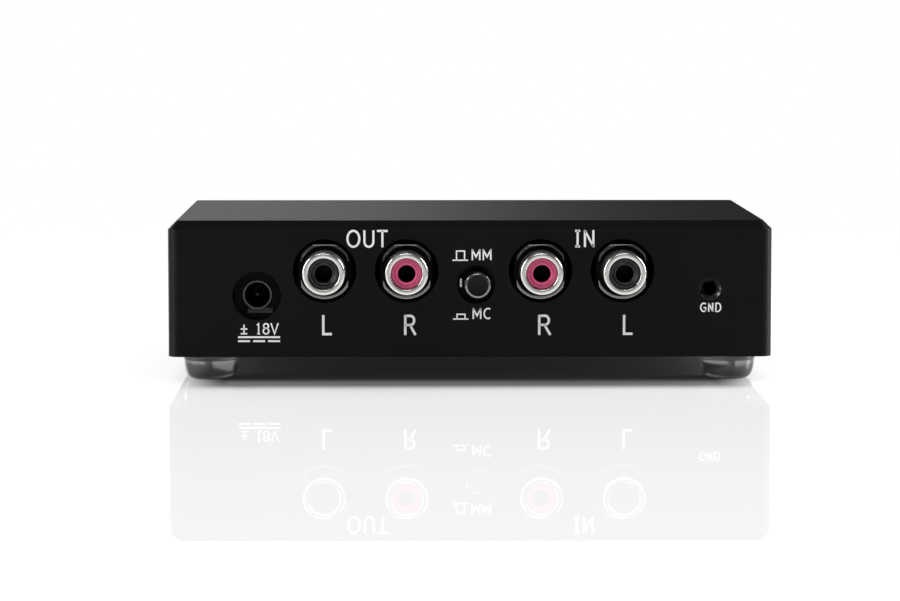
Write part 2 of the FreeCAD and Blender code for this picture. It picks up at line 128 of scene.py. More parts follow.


# White where the camera or a shiny surface looks at it, plain pale grey where light falls on it, and a
# painted shade under the case
def stageMaterial():
    material = bpy.data.materials.new("paleFloor")
    material.use_nodes = True
    nodes = material.node_tree.nodes
    links = material.node_tree.links

    def step(operation, first, second=None):
        node = nodes.new("ShaderNodeMath")
        node.operation = operation
        for socket, value in zip(node.inputs, (first, second)):
            if isinstance(value, (int, float)):
                socket.default_value = value
            elif value is not None:
                links.new(value, socket)
        return node.outputs[0]

    def smooth(value, start, end, low, high):
        node = nodes.new("ShaderNodeMapRange")
        node.interpolation_type = "SMOOTHSTEP"
        for name, number in (("From Min", start), ("From Max", end), ("To Min", low), ("To Max", high)):
            node.inputs[name].default_value = number
        links.new(value, node.inputs["Value"])
        return node.outputs["Result"]

    shader = nodes["Principled BSDF"]
    shader.inputs["Roughness"].default_value = studio["floorRoughness"]
    white = nodes.new("ShaderNodeEmission")
    path = nodes.new("ShaderNodeLightPath")
    place = nodes.new("ShaderNodeTexCoord")
    split = nodes.new("ShaderNodeSeparateXYZ")
    links.new(place.outputs["Object"], split.inputs[0])
    across, along = split.outputs[0], split.outputs[1]

    # Only satin reflections lose white towards the right; the floor's own sharp one keeps it
    lossLeft = 1 - studio["dimLeft"]
    lossRight = 1 - studio["dimRight"]
    loss = smooth(across, studio["dimFrom"], studio["dimTo"], lossLeft, lossRight)
    behind = smooth(along, studio["behindFrom"], studio["behindTo"], 0.0, 1.0)
    satin = step("SUBTRACT", path.outputs["Is Glossy Ray"], path.outputs["Is Singular Ray"])
    lost = step("MULTIPLY", step("MULTIPLY", loss, behind), step("MAXIMUM", satin, 0.0))
    links.new(step("SUBTRACT", 1.0, lost), white.inputs["Strength"])

    seen = step("MAXIMUM", path.outputs["Is Camera Ray"], path.outputs["Is Glossy Ray"])
    seen = step("MAXIMUM", seen, path.outputs["Is Transmission Ray"])

    # How far a floor point lies outside the case's footprint: the painted shade is under it and fades
    # around it
    off = []
    for axis, line in enumerate((across, along)):
        away = step("ABSOLUTE", step("SUBTRACT", line, studio["shadeMiddle"][axis]))
        off.append(step("MAXIMUM", step("SUBTRACT", away, studio["shadeHalf"][axis]), 0.0))
    squares = [step("MULTIPLY", distance, distance) for distance in off]
    outside = step("SQRT", step("ADD", squares[0], squares[1]))
    lit = smooth(outside, 0.0, studio["shadeReach"], 0.0, 1.0)
    links.new(step("MULTIPLY", lit, studio["floorSpecular"]), shader.inputs["Specular IOR Level"])

    far = smooth(along, studio["whiteFrom"], studio["whiteTo"], studio["floorWhite"], 1.0)
    pale = step("MAXIMUM", step("MULTIPLY", lit, far), studio["shadeWhite"])
    share = step("MULTIPLY", pale, seen)
    # Painted shade: under the case the floor's colour darkens by shadeColour, its share of white falls
    # to shadeWhite and its reflection goes
    shaded = [part * studio["shadeColour"] for part in studio["floorColour"]]
    paintedShadeTone = nodes.new("ShaderNodeMix")
    paintedShadeTone.data_type = "RGBA"
    paintedShadeTone.inputs["A"].default_value = (*shaded, 1)
    paintedShadeTone.inputs["B"].default_value = (*studio["floorColour"], 1)
    links.new(lit, paintedShadeTone.inputs["Factor"])
    links.new(paintedShadeTone.outputs["Result"], shader.inputs["Base Color"])
    mix = nodes.new("ShaderNodeMixShader")
    links.new(share, mix.inputs["Fac"])
    links.new(shader.outputs[0], mix.inputs[1])
    links.new(white.outputs[0], mix.inputs[2])
    links.new(mix.outputs[0], nodes["Material Output"].inputs["Surface"])
    return material


# The floor's side line, level and then a quarter circle up into an upright, drawn out along X
def makeStage():
    half = studio["floorHalf"]
    back = studio["backdropDistance"]
    bend = studio["bendRadius"]
    turn = np.linspace(0, math.pi / 2, studio["bendSteps"])
    level = np.array([[at, 0] for at in (-half, *studio["levelCuts"])])
    curve = np.stack([back - bend + bend * np.sin(turn), bend - bend * np.cos(turn)], 1)
    side = np.concatenate([level, curve, [[back, studio["backdropHeight"]]]])
    wide = np.repeat(np.array([[-half, half]]), len(side), 0)
    points = np.stack([wide, np.repeat(side[:, :1], 2, 1), np.repeat(side[:, 1:], 2, 1)], -1)
    sheet = gridMesh("floorSheet", points / mm, False, False)
    sheet.data.shade_smooth()
    sheet.data.materials.append(stageMaterial())


def makeLights():
    world = bpy.data.worlds.new("studioWorld")
    bpy.context.scene.world = world
    world.use_nodes = True
    nodes = world.node_tree.nodes
    links = world.node_tree.links
    back = nodes["Background"]
    back.inputs["Color"].default_value = (1, 1, 1, 1)
    path = nodes.new("ShaderNodeLightPath")
    # Each ray kind that is picked out takes over from the level before it
    levels = {"Is Glossy Ray": studio["worldGlossy"], "Is Camera Ray": studio["worldCamera"]}
    earlier = None
    for ray, level in levels.items():
        pick = nodes.new("ShaderNodeMapRange")
        pick.inputs["To Max"].default_value = level
        if earlier:
            links.new(earlier, pick.inputs["To Min"])
        else:
            pick.inputs["To Min"].default_value = studio["worldDiffuse"]
        links.new(path.outputs[ray], pick.inputs["Value"])
        earlier = pick.outputs["Result"]
    links.new(earlier, back.inputs["Strength"])
    for name, place, size, power, inReflections in studio["lamps"]:
        data = bpy.data.lights.new(name, "AREA")
        data.shape = "RECTANGLE"
        data.size, data.size_y = size
        data.energy = power
        lamp = bpy.data.objects.new(name, data)
        lamp.location = place
        lamp.visible_glossy = inReflections
        lamp.visible_transmission = False
        toCase = Vector(studio["lampAim"]) - Vector(place)
        lamp.rotation_euler = toCase.to_track_quat("-Z", "Y").to_euler()
        bpy.context.scene.collection.objects.link(lamp)


# Mesh helpers: places are in millimetres, and merging distances in metres

meshRules = {
    "doubles": 2e-7,
    "slivers": 1e-7,
    "levelDegrees": 0.3,
    "bevelDegrees": 40,
}


def plainMesh(name, points, faces):
    mesh = bpy.data.meshes.new(name)
    mesh.from_pydata([tuple(point) for point in points], [], faces)
    mesh.update()
    thing = bpy.data.objects.new(name, mesh)
    bpy.context.scene.collection.objects.link(thing)
    return thing


# A grid of points, rows by columns: each point and its next neighbours make one quad, and either
# way round may close on itself
def gridMesh(name, points, closeRows, closeColumns):
    rows, columns = points.shape[:2]
    index = np.arange(rows * columns).reshape(rows, columns)
    if closeRows:
        index = np.concatenate([index, index[:1]], 0)
    if closeColumns:
        index = np.concatenate([index, index[:, :1]], 1)
    quads = np.stack([index[:-1, :-1], index[:-1, 1:], index[1:, 1:], index[1:, :-1]], -1)
    return plainMesh(name, points.reshape(-1, 3) * mm, quads.reshape(-1, 4).tolist())


def shadeBySharpness(thing, sharpDegrees):
    thing.data.shade_smooth()
    thing.data.set_sharp_from_angle(angle=math.radians(sharpDegrees))


# Merges doubles and, if asked, level neighbours, points the faces outwards and marks sharp edges
def settle(thing, sharpDegrees, turnOut=True, level=False):
    shape = bmesh.new()
    shape.from_mesh(thing.data)
    bmesh.ops.remove_doubles(shape, verts=shape.verts, dist=meshRules["doubles"])
    bmesh.ops.dissolve_degenerate(shape, dist=meshRules["slivers"], edges=shape.edges)
    if level:
        limit = math.radians(meshRules["levelDegrees"])
        bmesh.ops.dissolve_limit(shape, angle_limit=limit, verts=shape.verts, edges=shape.edges)
    if turnOut:
        bmesh.ops.recalc_face_normals(shape, faces=shape.faces)
    shape.to_mesh(thing.data)
    shape.free()
    shadeBySharpness(thing, sharpDegrees)
    return thing


# Joins pieces that share a material into one object
def joined(name, things):
    shape = bmesh.new()
    for thing in things:
        shape.from_mesh(thing.data)
    mesh = bpy.data.meshes.new(name)
    shape.to_mesh(mesh)
    shape.free()
    for thing in things:
        bpy.data.objects.remove(thing, do_unlink=True)
    whole = bpy.data.objects.new(name, mesh)
    bpy.context.scene.collection.objects.link(whole)
    return whole


# A turned surface: each outline point (along, radius) goes round the axis through centre, its two
# other places being centre plus radius times the cosine and the sine; way is "y" or "z"
def turnedMesh(name, outline, centre, way, segments=72, sharp=32):
    outline = np.array(outline, float)
    angle = np.linspace(0, 2 * math.pi, segments, endpoint=False)
    along = np.repeat(outline[:, :1], segments, 1)
    across = outline[:, 1:] * np.cos(angle)[None, :]
    up = outline[:, 1:] * np.sin(angle)[None, :]
    if way == "y":
        points = np.stack([centre[0] + across, along, centre[2] + up], -1)
    else:
        points = np.stack([centre[0] + across, centre[1] + up, along], -1)
    return settle(gridMesh(name, points, True, True), sharp)


# Points of an arc: centre plus radius times the cosine and the sine of evenly spaced angles
def roundOff(centre, radius, startDegrees, endDegrees, count=7):
    turn = np.radians(np.linspace(startDegrees, endDegrees, count))
    return np.stack([centre[0] + radius * np.cos(turn), centre[1] + radius * np.sin(turn)], 1).tolist()


# A round tube: at each point of the path, a circle square to the path's direction there; the end
# circles shrink to the path's own ends
def tubeMesh(name, path, radius, sides):
    ahead = np.gradient(path, axis=0)
    ahead /= np.linalg.norm(ahead, axis=1, keepdims=True)
    outward = np.cross(ahead, np.array([0.0, 1.0, 0.0]))
    outward /= np.linalg.norm(outward, axis=1, keepdims=True)
    other = np.cross(ahead, outward)
    turn = np.linspace(0, 2 * math.pi, sides, endpoint=False)[None, :, None]
    ring = outward[:, None, :] * np.cos(turn) + other[:, None, :] * np.sin(turn)
    points = path[:, None, :] + radius * ring
    first, last = [np.repeat(path[[end]][:, None, :], sides, 1) for end in (0, -1)]
    return settle(gridMesh(name, np.concatenate([first, points, last], 0), False, True), 40)


# A box from two corners
def boxMesh(name, low, high):
    spans = list(zip(low, high))
    corners = [(x, y, z) for x in spans[0] for y in spans[1] for z in spans[2]]
    faces = [(0, 1, 3, 2), (4, 6, 7, 5), (0, 4, 5, 1), (2, 3, 7, 6), (0, 2, 6, 4), (1, 5, 7, 3)]
    return settle(plainMesh(name, np.array(corners) * mm, faces), 30)


# A merged copy of a CAD node with smooth shading, its sharp edges softened by a small bevel
def softCopy(node, bevelWidth, bevelSegments=2, sharp=30):
    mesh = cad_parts[node].data.copy()
    piece = bpy.data.objects.new(node + "Finished", mesh)
    bpy.context.scene.collection.objects.link(piece)
    settle(piece, sharp, turnOut=False, level=True)
    bevel = piece.modifiers.new("edgeSoftness", "BEVEL")
    bevel.width = bevelWidth * mm
    bevel.segments = bevelSegments
    bevel.limit_method = "ANGLE"
    bevel.angle_limit = math.radians(meshRules["bevelDegrees"])
    flat = piece.modifiers.new("flatFaces", "WEIGHTED_NORMAL")
    flat.keep_sharp = True
    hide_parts(node)
    return piece


def dress(piece, finish, body=housing):
    piece.data.materials.clear()
    piece.data.materials.append(finish)
    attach(piece, body)


# Gives the faces that the test picks a second finish; the test reads a face's middle in
# millimetres and its direction
def dressPart(piece, finish, picks):
    piece.data.materials.append(finish)
    for face in piece.data.polygons:
        face.material_index = int(picks(np.array(face.center) / mm, face.normal))


# How far a point lies from a line that runs along Y
def fromAxis(point, axis):
    return math.hypot(point[0] - axis[0], point[2] - axis[2])


# Finishes: Principled shaders whose colour, roughness and bump come from noise on Object coordinates

finishes = {
    "caseBlack": {
        "dark": (0.0020, 0.0020, 0.0022), "light": (0.0032, 0.0032, 0.0034), "colourScale": 60,
        "rough": (0.38, 0.42), "roughScale": 900, "bump": 0.03, "bumpScale": 3200, "specular": 0.12,
    },
    "nickelBright": {
        "dark": (0.66, 0.65, 0.63), "light": (0.80, 0.79, 0.77), "colourScale": 90,
        "rough": (0.22, 0.27), "roughScale": 260, "bump": 0.004, "bumpScale": 500, "metallic": 1.0,
    },
    # A dimmer copy of nickel: painted shade on the ground bush
    "nickelHalfShade": {
        "dark": (0.12, 0.12, 0.115), "light": (0.18, 0.18, 0.17), "colourScale": 90,
        "rough": (0.20, 0.32), "roughScale": 700, "bump": 0.05, "bumpScale": 1600, "metallic": 1.0,
    },
    # A dark copy of nickel: painted shade for the jack contacts, the inlet's pin and spring, the ground
    # bush's bore and the switch frame's hood and arm
    "nickelShade": {
        "dark": (0.020, 0.020, 0.020), "light": (0.035, 0.034, 0.032), "colourScale": 90,
        "rough": (0.35, 0.50), "roughScale": 700, "bump": 0.05, "bumpScale": 1600, "metallic": 1.0,
    },
    "zincSteel": {
        "dark": (0.42, 0.43, 0.42), "light": (0.62, 0.62, 0.60), "colourScale": 200,
        "rough": (0.30, 0.48), "roughScale": 600, "bump": 0.08, "bumpScale": 1400, "metallic": 1.0,
    },
    "footClear": {
        "dark": (0.26, 0.26, 0.255), "light": (0.36, 0.36, 0.35), "colourScale": 120,
        "rough": (0.10, 0.22), "roughScale": 260, "bump": 0.05, "bumpScale": 420,
        "transmission": 0.86, "ior": 1.49,
    },
    "jackBlack": {
        "dark": (0.003, 0.003, 0.003), "light": (0.006, 0.006, 0.006), "colourScale": 150,
        "rough": (0.14, 0.24), "roughScale": 500, "bump": 0.04, "bumpScale": 900,
        "specular": 1.0, "ior": 2.0,
    },
    # A darker, duller copy of jackBlack: painted shade for the jacks' grooves and blocks and the inlet's
    # body
    "jackShade": {
        "dark": (0.0015, 0.0015, 0.0015), "light": (0.0025, 0.0025, 0.0025), "colourScale": 150,
        "rough": (0.55, 0.70), "roughScale": 500, "bump": 0.04, "bumpScale": 900, "specular": 0.10,
    },
    # A lighter grey than the inlet's black: painted highlight on the inlet's lip and chin
    "inletPaintedHighlight": {
        "dark": (0.030, 0.030, 0.030), "light": (0.048, 0.048, 0.048), "colourScale": 150,
        "rough": (0.24, 0.34), "roughScale": 500, "bump": 0.04, "bumpScale": 900, "specular": 0.8,
    },
    "insulatorBlack": {
        "dark": (0.003, 0.003, 0.003), "light": (0.006, 0.006, 0.006), "colourScale": 150,
        "rough": (0.16, 0.26), "roughScale": 500, "bump": 0.04, "bumpScale": 900,
    },
    "insulatorRed": {
        "dark": (0.42, 0.045, 0.125), "light": (0.56, 0.075, 0.18), "colourScale": 150,
        "rough": (0.22, 0.34), "roughScale": 500, "bump": 0.04, "bumpScale": 900,
    },
    "buttonBlack": {
        "dark": (0.003, 0.003, 0.003), "light": (0.005, 0.005, 0.005), "colourScale": 220,
        "rough": (0.34, 0.42), "roughScale": 700, "bump": 0.05, "bumpScale": 2200, "specular": 0.18,
    },
    "plasticBlack": {
        "dark": (0.008, 0.008, 0.008), "light": (0.018, 0.018, 0.018), "colourScale": 180,
        "rough": (0.34, 0.48), "roughScale": 600, "bump": 0.07, "bumpScale": 1500, "specular": 0.45,
    },
    "boardGreen": {
        "dark": (0.010, 0.070, 0.030), "light": (0.022, 0.125, 0.055), "colourScale": 45,
        "rough": (0.24, 0.40), "roughScale": 300, "bump": 0.10, "bumpScale": 900,
    },
    "sleeveBlue": {
        "dark": (0.012, 0.018, 0.060), "light": (0.020, 0.032, 0.095), "colourScale": 80,
        "rough": (0.22, 0.34), "roughScale": 300, "bump": 0.06, "bumpScale": 500,
    },
    "filmRed": {
        "dark": (0.30, 0.018, 0.012), "light": (0.46, 0.040, 0.022), "colourScale": 120,
        "rough": (0.20, 0.34), "roughScale": 300, "bump": 0.12, "bumpScale": 420,
    },
    "chipCeramic": {
        "dark": (0.018, 0.018, 0.020), "light": (0.05, 0.05, 0.055), "colourScale": 500,
        "rough": (0.35, 0.55), "roughScale": 800, "bump": 0.08, "bumpScale": 1800, "specular": 0.4,
    },
    "lampLens": {
        "dark": (0.55, 0.66, 0.86), "light": (0.70, 0.78, 0.92), "colourScale": 200,
        "rough": (0.08, 0.16), "roughScale": 400, "bump": 0.03, "bumpScale": 800,
        "transmission": 0.7,
    },
    "letterWhite": {
        "dark": (0.70, 0.70, 0.69), "light": (0.86, 0.86, 0.85), "colourScale": 900,
        "rough": (0.45, 0.60), "roughScale": 900, "bump": 0.04, "bumpScale": 2600, "specular": 0.3,
    },
}
# Noise detail for colour, roughness and bump, the band of noise that roughness uses, bump's depth
grain = {
    "colourDetail": 4,
    "roughDetail": 2,
    "bumpDetail": 3,
    "band": (0.3, 0.7),
    "bumpDistance": 0.0001,
}


def makeFinish(name):
    look = finishes[name]
    material = bpy.data.materials.new(name)
    material.use_nodes = True
    nodes = material.node_tree.nodes
    links = material.node_tree.links
    shader = nodes["Principled BSDF"]
    shader.inputs["Metallic"].default_value = look.get("metallic", 0.0)
    shader.inputs["Specular IOR Level"].default_value = look.get("specular", 0.5)
    shader.inputs["IOR"].default_value = look.get("ior", 1.5)
    shader.inputs["Transmission Weight"].default_value = look.get("transmission", 0.0)
    place = nodes.new("ShaderNodeTexCoord")

    def noise(scale, detail):
        cloud = nodes.new("ShaderNodeTexNoise")
        cloud.inputs["Scale"].default_value = scale
        cloud.inputs["Detail"].default_value = detail
        links.new(place.outputs["Object"], cloud.inputs["Vector"])
        return cloud.outputs["Fac"]

    blend = nodes.new("ShaderNodeMix")
    blend.data_type = "RGBA"
    blend.inputs["A"].default_value = (*look["dark"], 1)
    blend.inputs["B"].default_value = (*look["light"], 1)
    links.new(noise(look["colourScale"], grain["colourDetail"]), blend.inputs["Factor"])
    links.new(blend.outputs["Result"], shader.inputs["Base Color"])
    spread = nodes.new("ShaderNodeMapRange")
    limits = (*grain["band"], *look["rough"])
    for socket, limit in zip(("From Min", "From Max", "To Min", "To Max"), limits):
        spread.inputs[socket].default_value = limit
    links.new(noise(look["roughScale"], grain["roughDetail"]), spread.inputs["Value"])
    links.new(spread.outputs["Result"], shader.inputs["Roughness"])
    bump = nodes.new("ShaderNodeBump")
    bump.inputs["Strength"].default_value = look["bump"]
    bump.inputs["Distance"].default_value = grain["bumpDistance"]
    links.new(noise(look["bumpScale"], grain["bumpDetail"]), bump.inputs["Height"])
    links.new(bump.outputs["Normal"], shader.inputs["Normal"])
    return material


makeCamera()
makeStage()
makeLights()
finish = {name: makeFinish(name) for name in finishes}
print("camera, stage, light and finishes made")


# Case: the cover's own shape with softened hole edges, and the base plate under it

caseBevels = {"cover": 0.12, "base_plate": 0.1}


def makeCase():
    for node, width in caseBevels.items():
        dress(softCopy(node, width), finish["caseBlack"])


# Feet: a short flange, a small step under it, and a soft dome down to a slightly hollow flat

footShape = {
    "radius": 5.5,
    "flange": 1.2,
    "edge": 0.15,
    "underEdge": 0.12,
    "step": 0.18,
    "stepDrop": 0.02,
    "flat": 3.0,
    "hollow": 0.12,
    "hollowRim": 0.5,
    "acrossPower": 0.75,
    "alongPower": 0.9,
    "domeSteps": 15,
}


# The dome is a quarter of a super-ellipse from the step to the flat: its radius falls with the
# cosine to one power while its height falls with the sine to another
def makeFoot(node):
    centre, low, high = nodeBox(node)
    top = high[2]
    bottom = low[2]
    radius = footShape["radius"]
    edge = footShape["edge"]
    flat = footShape["flat"]
    lower = top - footShape["flange"]
    start = radius - footShape["step"]
    turn = np.linspace(0, math.pi / 2, footShape["domeSteps"])
    across = flat + (start - flat) * np.cos(turn) ** footShape["acrossPower"]
    along = bottom + (lower - bottom) * (1 - np.sin(turn) ** footShape["alongPower"])
    ceiling = bottom + footShape["hollow"]
    outline = [(top, 0), (top, radius - edge)] + roundOff((top - edge, radius - edge), edge, 0, 90, 4)
    outline += [(lower + edge, radius), (lower, radius - footShape["underEdge"])]
    outline += [(lower - footShape["stepDrop"], start)] + np.stack([along, across], 1)[1:].tolist()
    outline += [(ceiling, flat - footShape["hollowRim"]), (ceiling, 0)]
    foot = turnedMesh(node + "Dome", outline, centre, "z", segments=64, sharp=40)
    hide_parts(node)
    dress(foot, finish["footClear"])


# Phono ring: turned nickel tube with a rolled front lip, two faint tool grooves and a leg below

ringShape = {
    "radius": 4.15,
    "bore": 3.03,
    "lip": 0.42,
    "mouth": 0.22,
    "grooves": (2.2, 5.4),
    "grooveHalf": 0.12,
    "grooveFloor": 0.05,
    "grooveDepth": 0.05,
    "seat": 3.6,
    "reach": 10.1,
    "legWidth": 2.0,
    "legThick": 0.6,
    "sharp": 38,
}


# Turned from an outline: bore, seat, shoulder, outside with two grooves, and two arcs at the lip
def makeRing(node):
    centre, low, high = nodeBox(node)
    tip = low[1]
    end = high[1]
    radius = ringShape["radius"]
    bore = ringShape["bore"]
    lip = ringShape["lip"]
    mouth = ringShape["mouth"]
    seat = ringShape["seat"]
    half = ringShape["grooveHalf"]
    floor = ringShape["grooveFloor"]
    deep = radius - ringShape["grooveDepth"]
    axis = (centre[0], 0, high[2] - radius)
    shoulder = tip + ringShape["reach"]
    outline = [(end, bore), (end, seat), (shoulder, seat), (shoulder, radius)]
    for groove in reversed(ringShape["grooves"]):
        at = tip + groove
        outline += [(at + half, radius), (at + floor, deep), (at - floor, deep), (at - half, radius)]
    outline += roundOff((tip + lip, radius - lip), lip, 90, 180, 9)
    outline += roundOff((tip + mouth, bore + mouth), mouth, 180, 270, 6)
    tube = turnedMesh(node + "Turned", outline, axis, "y", segments=96, sharp=ringShape["sharp"])
    legHalf = ringShape["legWidth"] / 2
    legLow = (axis[0] - legHalf, end - ringShape["legThick"], low[2])
    legHigh = (axis[0] + legHalf, end, axis[2] - (seat + bore) / 2)
    ring = joined(node + "Turned", [tube, boxMesh(node + "Leg", legLow, legHigh)])
    shadeBySharpness(ring, ringShape["sharp"])
    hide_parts(node)
    dress(ring, finish["nickelBright"])
    return axis


# Insulator: a disc set back in the ring, sloping up to a rounded lip round the hole

insulatorShape = {
    "radius": 3.0,
    "hole": 1.7,
    "lipHeight": 0.34,
    "lipWidth": 0.5,
    "lipFoot": 0.22,
    "lipTurn": (110, 250),
    "edgeLength": 0.25,
    "edgeWidth": 0.12,
    "counterbore": 0.33,
    "counterboreFrom": 2.0,
}


# Turned from an outline: back, outside, chamfered edge, face, and one arc over the lip to the hole
def makeInsulator(node, colour):
    centre, low, high = nodeBox(node)
    tip = low[1]
    end = high[1]
    hole = insulatorShape["hole"]
    wideHole = hole + insulatorShape["counterbore"]
    lip = insulatorShape["lipWidth"] / 2
    radius = insulatorShape["radius"]
    face = tip + insulatorShape["lipHeight"]
    inner = tip + insulatorShape["counterboreFrom"]
    lipFoot = hole + 2 * lip + insulatorShape["lipFoot"]
    outline = [(end, wideHole), (end, radius), (face + insulatorShape["edgeLength"], radius)]
    outline += [(face, radius - insulatorShape["edgeWidth"]), (face, lipFoot)]
    outline += roundOff((tip + lip, hole + lip), lip, *insulatorShape["lipTurn"], 11)
    outline += [(inner, hole), (inner, wideHole)]
    axis = (centre[0], 0, centre[2])
    piece = turnedMesh(node + "Moulded", outline, axis, "y", segments=80, sharp=34)
    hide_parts(node)
    dress(piece, finish[colour])


# Jack nose: a wall round a groove, open at both sides and rolled over at the front, in front of
# the moulded block

noseShape = {
    "radius": 5.7,
    "flat": 4.65,
    "top": 5.2,
    "groove": 4.9,
    "depth": 1.6,
    "seat": 3.63,
    "roll": 0.38,
    "rollShare": 0.48,
    "leastWall": 0.05,
    "blockFront": 2.0,
    "blockOverlap": 0.02,
    "shadeFrom": 1.4,
    "shadeSlack": 0.02,
    "turnStep": 2.5,
    "rollSteps": 6,
    "bodyBevel": 0.18,
}


# At each angle the wall's outside is the least of a circle, two upright flats and a level top; the
# profile there goes from the block's front over two quarter-round rolls down to the groove's floor
def makeNose(name, axis, noseY):
    turn = np.radians(np.arange(0, 360, noseShape["turnStep"]))
    tiny = 1e-6
    toFlat = noseShape["flat"] / np.maximum(np.abs(np.cos(turn)), tiny)
    toTop = np.where(np.sin(turn) > 0, noseShape["top"] / np.maximum(np.sin(turn), tiny), math.inf)
    outer = np.minimum(np.minimum(noseShape["radius"], toFlat), toTop)
    thick = outer - noseShape["groove"]
    walled = thick > noseShape["leastWall"]
    floor = np.full_like(outer, noseY + noseShape["depth"])
    back = np.full_like(outer, noseY + noseShape["blockFront"])
    seat = np.full_like(outer, noseShape["seat"])
    front = np.where(walled, noseY, floor)
    inner = np.where(walled, noseShape["groove"], outer)
    roll = np.where(walled, np.minimum(noseShape["roll"], thick * noseShape["rollShare"]), 0)
    quarter = np.radians(np.linspace(0, 90, noseShape["rollSteps"]))
    columns = [(outer, back)]
    for side, angles in ((outer, quarter[::-1]), (inner, quarter)):
        sign = -1 if side is outer else 1
        for part in angles:
            columns.append((side + sign * roll * (1 - np.sin(part)), front + roll * (1 - np.cos(part))))
    columns += [(inner, floor), (seat, floor), (seat, back)]
    rings = [(axis[0] + r * np.cos(turn), y, axis[2] + r * np.sin(turn)) for r, y in columns]
    points = np.stack([np.stack(ring, -1) for ring in rings], 1)
    return settle(gridMesh(name, points, True, False), 40)


# The body's own shape without its nose, and the rolled nose in its place
def makeBody(node, axis):
    body = softCopy(node, noseShape["bodyBevel"], bevelSegments=3)
    noseY = nodeBox(node)[1][1]
    keep = noseY + noseShape["blockFront"] - noseShape["blockOverlap"]
    shape = bmesh.new()
    shape.from_mesh(body.data)
    away = [face for face in shape.faces if face.calc_center_median()[1] / mm < keep]
    bmesh.ops.delete(shape, geom=away, context="FACES")
    shape.to_mesh(body.data)
    shape.free()
    # Painted shade: the block's front behind the nose takes jackShade
    dress(body, finish["jackShade"])
    nose = makeNose(node + "Nose", axis, noseY)
    dress(nose, finish["jackBlack"])
    # Painted shade: the groove's floor and inner wall and the nose's faces deep behind its front take
    # jackShade
    within = noseShape["groove"] + noseShape["shadeSlack"]
    beyond = noseY + noseShape["shadeFrom"]

    def inShade(at, facing):
        return fromAxis(at, axis) < within or at[1] > beyond

    dressPart(nose, finish["jackShade"], inShade)


insulatorColours = {
    "output_left": "insulatorBlack",
    "output_right": "insulatorRed",
    "input_right": "insulatorRed",
    "input_left": "insulatorBlack",
}


def makeJacks():
    for jack, colour in insulatorColours.items():
        axis = makeRing(jack + "_ring")
        makeInsulator(jack + "_insulator", colour)
        makeBody(jack + "_body", axis)


# Button: a round cap with a glossy rolled rim and a faintly dished, duller face

capShape = {"radius": 2.6, "rim": 0.55, "dish": 0.12, "dishSteps": 8}


# Turned from an outline: side, a quarter round over the rim, and a parabola over the dished face
def makeButton():
    centre, low, high = nodeBox("button_cap")
    radius = capShape["radius"]
    rim = capShape["rim"]
    face = low[1]
    end = high[1]
    across = np.linspace(0, radius - rim, capShape["dishSteps"])
    dish = face + capShape["dish"] * (1 - (across / (radius - rim)) ** 2)
    outline = [(end, 0), (end, radius)]
    outline += roundOff((face + rim, radius - rim), rim, 90, 180, 9)
    outline += np.stack([dish, across], 1)[::-1][1:].tolist()
    cap = turnedMesh("buttonCapMoulded", outline, (centre[0], 0, centre[2]), "y", segments=72, sharp=45)
    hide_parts("button_cap")
    dress(cap, finish["buttonBlack"], button)
    dressPart(cap, finish["jackBlack"], lambda at, facing: fromAxis(at, centre) > radius - rim)


# Return spring: a round wire along a helix whose first and last turns lie flat

springShape = {
    "radius": 2.15,
    "wire": 0.14,
    "turns": 4.5,
    "flat": 0.75,
    "travel": 2.5,
    "steps": 200,
    "sides": 10,
}


# The wire goes round at an even rate, and along in step with it between the two flat ends
def makeSpring():
    centre, low, high = nodeBox("switch_spring")
    radius = springShape["radius"]
    wire = springShape["wire"]
    flat = springShape["flat"]
    length = high[1] - low[1]
    around = np.linspace(0, springShape["turns"] * 2 * math.pi, springShape["steps"])
    share = np.clip((around / (2 * math.pi) - flat) / (springShape["turns"] - 2 * flat), 0, 1)
    along = low[1] + wire + share * (length - 2 * wire)
    path = np.stack([centre[0] + radius * np.cos(around), along, centre[2] + radius * np.sin(around)], 1)
    spring = tubeMesh("switchSpringWound", path, wire, springShape["sides"])
    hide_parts("switch_spring")
    dress(spring, finish["zincSteel"])
    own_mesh(spring)


# Ground bush: a countersunk mouth, a threaded bore and a collar behind the panel

groundShape = {
    "radius": 2.1,
    "bore": 1.3,
    "mouth": 2.05,
    "mouthEdge": 0.03,
    "collarFrom": 2.0,
    "collarTo": 2.8,
    "collarRadius": 3.2,
    "threadPitch": 0.5,
    "threadDepth": 0.16,
    "threadFrom": 0.9,
    "threadEnds": 1.6,
    "backRelief": 0.2,
    "sink": 0.7,
    "wall": 0.3,
}


# Turned from an outline: mouth, outside with its collar, and a saw-tooth bore of even pitch
def makeGround():
    centre, low, high = nodeBox("ground_socket")
    axis = (centre[0], 0, centre[2])
    face = low[1]
    end = high[1]
    radius = groundShape["radius"]
    bore = groundShape["bore"]
    edge = groundShape["mouthEdge"]
    mouth = groundShape["mouth"]
    pitch = groundShape["threadPitch"]
    collar = groundShape["collarRadius"]
    collarFrom = face + groundShape["collarFrom"]
    collarTo = face + groundShape["collarTo"]
    outline = [(face + edge, mouth), (face, mouth + edge), (face, radius), (collarFrom, radius)]
    outline += [(collarFrom, collar), (collarTo, collar), (collarTo, radius), (end, radius)]
    outline += [(end, bore + groundShape["backRelief"])]
    for turn in reversed(range(int((end - face - groundShape["threadEnds"]) / pitch))):
        at = face + groundShape["threadFrom"] + turn * pitch
        outline += [(at + pitch / 2, bore + groundShape["threadDepth"]), (at, bore)]
    bush = turnedMesh("groundBushTurned", outline, axis, "y", segments=72, sharp=38)
    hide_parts("ground_socket")
    # Painted shade: the bush takes a dimmer copy of nickel, and its bore past the countersink a dark one
    dress(bush, finish["nickelHalfShade"])
    within = radius - groundShape["wall"]
    beyond = face + groundShape["sink"]

    def inBore(at, facing):
        return fromAxis(at, axis) < within and at[1] > beyond

    dressPart(bush, finish["nickelShade"], inBore)


